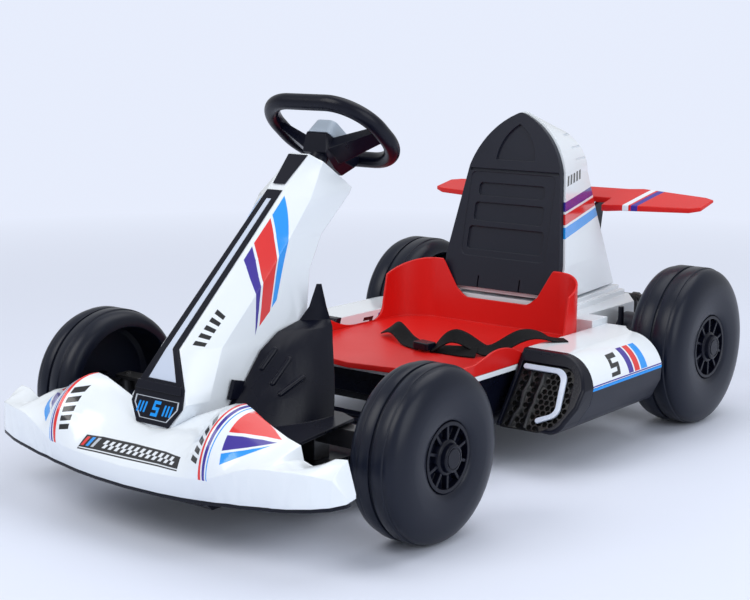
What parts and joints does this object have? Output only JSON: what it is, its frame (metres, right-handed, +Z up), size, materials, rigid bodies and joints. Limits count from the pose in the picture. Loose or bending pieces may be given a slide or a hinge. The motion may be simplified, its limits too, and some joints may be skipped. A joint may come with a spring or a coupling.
{
  "type": "kids electric go-kart",
  "caption": "Child's battery go-kart: low moulded body with bucket seat, tall steering tower, side pods, rear wing, steered front wheels and driven rear wheels that roll.",
  "frame": {"origin": "on the floor under the middle of the kart's overall box", "axes": "the kart drives towards -Y, its left side is +X and +Z is up"},
  "size_m": [0.71, 1.1756, 0.5743],
  "materials": {
    "white": "glossy injection moulded",
    "red": "glossy injection moulded",
    "black": "fine grained moulded",
    "dark_grey": "satin moulded",
    "lamp": "translucent pale lens",
    "grey_pad": "satin silver grey",
    "steel": "zinc plated",
    "axle_paint": "black powder coat",
    "tyre": "hollow moulded, satin black",
    "webbing": "woven webbing"
  },
  "bodies": {
    "chassis": {"backrest_cowl": "white", "backrest_panel": "dark_grey", "battery": "dark_grey", "belt_buckle": "black", "belt_left": "webbing", "belt_right": "webbing", "body_shell": "white", "column_mount": "dark_grey", "deck_lip": "black", "floor_tray": "black", "foot_guard_left": "black", "foot_guard_right": "black", "front_beam": "axle_paint", "front_deck": "white", "gearbox_left": "dark_grey", "gearbox_right": "dark_grey", "pedal": "dark_grey", "pod_grille_left": "black", "pod_grille_right": "black", "pod_light_left": "lamp", "pod_light_right": "lamp", "pod_lower_left": "dark_grey", "pod_lower_right": "dark_grey", "pod_nose_left": "black", "pod_nose_right": "black", "pod_top_left": "white", "pod_top_right": "white", "rear_axle": "steel", "rear_bar": "axle_paint", "seat_base": "black", "seat_pan": "red", "tower_cap": "black", "tower_light": "lamp", "tower_shell": "white", "tower_trim": "black", "wing": "red", "wing_strut_left": "black", "wing_strut_right": "black"},
    "steering": {"steering_column": "steel", "steering_rim": "black", "steering_hub": "black", "horn_pad": "grey_pad"},
    "knuckle_left": {"knuckle_left": "axle_paint"},
    "knuckle_right": {"knuckle_right": "axle_paint"},
    "tie_rod": {"tie_rod": "steel"},
    "front_wheel_left": {"front_tyre_left": "tyre", "front_hub_left": "black"},
    "front_wheel_right": {"front_tyre_right": "tyre", "front_hub_right": "black"},
    "rear_wheel_left": {"rear_tyre_left": "tyre", "rear_hub_left": "black"},
    "rear_wheel_right": {"rear_tyre_right": "tyre", "rear_hub_right": "black"}
  },
  "joints": [
    {"name": "steering_turn", "type": "hinge", "parent": "chassis", "child": "steering", "pos_m": [0, -0.157, 0.5175], "axis": [0, 0.6225, 0.7826], "range_deg": [-40, 40]},
    {"name": "knuckle_left_turn", "type": "hinge", "parent": "chassis", "child": "knuckle_left", "pos_m": [0.262, -0.334, 0.12], "axis": [0, 0, 1], "range_deg": [-27.5, 27.5]},
    {"name": "knuckle_right_turn", "type": "hinge", "parent": "chassis", "child": "knuckle_right", "pos_m": [-0.262, -0.334, 0.12], "axis": [0, 0, 1], "range_deg": [-27.5, 27.5]},
    {"name": "tie_rod_pivot", "type": "hinge", "parent": "knuckle_left", "child": "tie_rod", "pos_m": [0.262, -0.264, 0.0978], "axis": [0, 0, 1], "range_deg": [-27.5, 27.5]},
    {"name": "front_wheel_left_spin", "type": "hinge", "parent": "knuckle_left", "child": "front_wheel_left", "pos_m": [0.309, -0.334, 0.12], "axis": [1, 0, 0], "continuous": true},
    {"name": "front_wheel_right_spin", "type": "hinge", "parent": "knuckle_right", "child": "front_wheel_right", "pos_m": [-0.309, -0.334, 0.12], "axis": [1, 0, 0], "continuous": true},
    {"name": "rear_wheel_left_spin", "type": "hinge", "parent": "chassis", "child": "rear_wheel_left", "pos_m": [0.285, 0.451, 0.134], "axis": [1, 0, 0], "continuous": true},
    {"name": "rear_wheel_right_spin", "type": "hinge", "parent": "chassis", "child": "rear_wheel_right", "pos_m": [-0.285, 0.451, 0.134], "axis": [1, 0, 0], "continuous": true}
  ],
  "couplings": [
    {"joint": "knuckle_left_turn", "follows": "steering_turn", "ratio": 0.6825},
    {"joint": "knuckle_right_turn", "follows": "steering_turn", "ratio": 0.6825},
    {"joint": "tie_rod_pivot", "follows": "steering_turn", "ratio": -0.6825}
  ]
}
